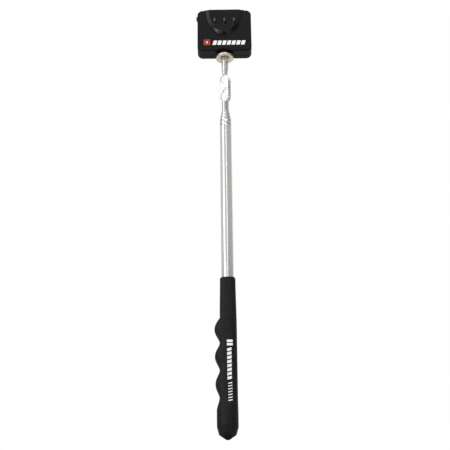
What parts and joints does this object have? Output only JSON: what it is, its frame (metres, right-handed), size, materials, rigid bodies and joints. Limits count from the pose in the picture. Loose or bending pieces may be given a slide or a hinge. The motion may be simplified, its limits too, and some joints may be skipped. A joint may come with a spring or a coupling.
{
  "type": "telescoping magnetic pickup tool",
  "caption": "Telescoping pickup tool: finger grip, nested sliding tubes and a double ball joint carrying a flat lighted magnet head with a battery door.",
  "frame": {"origin": "middle of the small flat at the end of the butt, on the axis of the tubes, all tubes pushed home and the joint straight", "axes": "+Z along the tubes towards the head; -Y out of the head's battery door; +Y out of the magnet face; -X out of the grip's finger ridges and the switch"},
  "size_m": [0.0462, 0.0169, 0.3672],
  "materials": {
    "grip_vinyl": "matte black vinyl with a fine pebble grain",
    "plug_plastic": "plain moulded plastic",
    "tube_steel": "polished stainless tube with fine lengthwise draw lines",
    "sleeve_bronze": "spring bronze shim, lightly greased",
    "joint_chrome": "bright chrome plate",
    "stem_steel": "turned and polished steel",
    "bushing_nickel": "warm satin nickel plate",
    "fastener_steel": "zinc-plated steel",
    "head_plastic": "black moulded plastic with a fine spark texture",
    "door_plastic": "black moulded plastic, slightly smoother than the cover",
    "button_plastic": "smooth black plastic",
    "cell_steel": "stamped steel can",
    "contact_brass": "plated spring strip",
    "board_green": "green solder mask",
    "led_clear": "clear water-white epoxy",
    "lens_clear": "clear polished plastic",
    "magnet_metal": "nickel-plated magnet block",
    "pole_steel": "ground steel face",
    "print_white": "white pad-printed ink",
    "print_red": "red pad-printed ink"
  },
  "bodies": {
    "handle": {"grip": "grip_vinyl", "tube_end_plug": "plug_plastic", "outer_tube": "tube_steel"},
    "second_stage": {"second_tube": "tube_steel", "second_tube_sleeve": "sleeve_bronze"},
    "third_stage": {"third_tube": "tube_steel", "third_tube_sleeve": "sleeve_bronze"},
    "inner_stage": {"inner_tube": "tube_steel", "inner_tube_sleeve": "sleeve_bronze"},
    "lower_ball": {"ball_stud": "joint_chrome"},
    "link": {"link_plate_front": "joint_chrome", "link_plate_back": "joint_chrome", "link_screw": "fastener_steel", "link_lock_washer": "fastener_steel", "link_nut": "fastener_steel"},
    "stem": {"head_stem": "stem_steel", "stem_wave_washer": "fastener_steel", "stem_clip": "fastener_steel"},
    "head": {"stem_bushing": "bushing_nickel", "head_housing": "head_plastic", "back_cover": "head_plastic", "cover_screws": "fastener_steel", "coin_cells": "cell_steel", "cell_ring": "plug_plastic", "cell_contact_plus": "contact_brass", "cell_contact_minus": "contact_brass", "circuit_board": "board_green", "switch_body": "button_plastic", "led_lamps": "led_clear", "led_lenses": "lens_clear", "magnet": "magnet_metal", "pole_plate": "pole_steel"},
    "door": {"battery_door": "door_plastic"},
    "button": {"switch_button": "button_plastic"}
  },
  "joints": [
    {"name": "second_tube_slide", "type": "slide", "parent": "handle", "child": "second_stage", "axis": [0, 0, 1], "range_m": [0, 0.205]},
    {"name": "third_tube_slide", "type": "slide", "parent": "second_stage", "child": "third_stage", "axis": [0, 0, 1], "range_m": [0, 0.205]},
    {"name": "inner_tube_slide", "type": "slide", "parent": "third_stage", "child": "inner_stage", "axis": [0, 0, 1], "range_m": [0, 0.205]},
    {"name": "ball_turn", "type": "hinge", "parent": "inner_stage", "child": "lower_ball", "pos_m": [0, 0, 0.2847], "axis": [0, 0, 1], "continuous": true},
    {"name": "link_tilt", "type": "hinge", "parent": "lower_ball", "child": "link", "pos_m": [0, 0, 0.2847], "axis": [0.5, 0.866, 0], "range_deg": [-90, 90]},
    {"name": "stem_tilt", "type": "hinge", "parent": "link", "child": "stem", "pos_m": [0, 0, 0.3009], "axis": [-0.5, -0.866, 0], "range_deg": [-90, 90]},
    {"name": "head_turn", "type": "hinge", "parent": "stem", "child": "head", "pos_m": [0, 0, 0.3295], "axis": [0, 0, 1], "continuous": true},
    {"name": "door_slide", "type": "slide", "parent": "head", "child": "door", "axis": [0, 0, 1], "range_m": [0, 0.022]},
    {"name": "switch_press", "type": "slide", "parent": "head", "child": "button", "axis": [1, 0, 0], "range_m": [0, 0.0006], "stiffness_N_per_m": 4, "springref_m": -0.0006}
  ]
}
